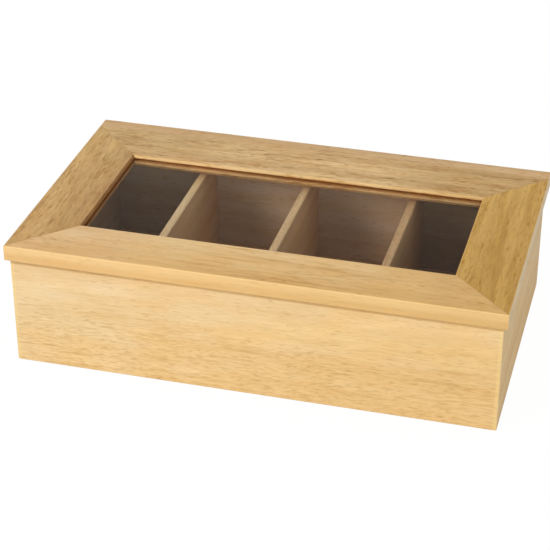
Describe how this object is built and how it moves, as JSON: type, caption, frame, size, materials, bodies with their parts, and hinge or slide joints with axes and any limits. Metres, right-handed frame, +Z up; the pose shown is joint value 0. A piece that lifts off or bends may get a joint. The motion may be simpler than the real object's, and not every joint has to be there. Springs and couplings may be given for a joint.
{
  "type": "tea caddy",
  "caption": "Low wooden tea box with a hinged, mitred lid round a clear pane, and equal compartments in a row for wrapped tea bags.",
  "frame": {"origin": "middle of the lid's footprint, on the surface that the box stands on", "axes": "+X along the box to its right side, -Y towards its front, +Z up"},
  "size_m": [0.335, 0.2, 0.09],
  "materials": {
    "wall_wood": "satin lacquer on pale rubberwood",
    "lid_wood": "satin lacquer on pale rubberwood",
    "divider_wood": "sanded",
    "base_plywood": "sanded plywood",
    "clear_pane": "clear acrylic sheet",
    "brass": "satin"
  },
  "bodies": {
    "box": {"front_wall": "wall_wood", "back_wall": "wall_wood", "left_wall": "wall_wood", "right_wall": "wall_wood", "base_panel": "base_plywood", "divider_left": "divider_wood", "divider_middle": "divider_wood", "divider_right": "divider_wood", "hinge_left_box_leaf": "brass", "hinge_right_box_leaf": "brass", "hinge_left_pin": "brass", "hinge_right_pin": "brass", "hinge_screws_box": "brass"},
    "lid": {"lid_front_rail": "lid_wood", "lid_back_rail": "lid_wood", "lid_left_rail": "lid_wood", "lid_right_rail": "lid_wood", "lid_rear_strip": "lid_wood", "window_pane": "clear_pane", "hinge_left_lid_leaf": "brass", "hinge_right_lid_leaf": "brass", "hinge_screws_lid": "brass"}
  },
  "joints": [
    {"name": "lid_hinge", "type": "hinge", "parent": "box", "child": "lid", "pos_m": [0, 0.0959, 0.079], "axis": [-1, 0, 0], "range_deg": [0, 115]}
  ]
}
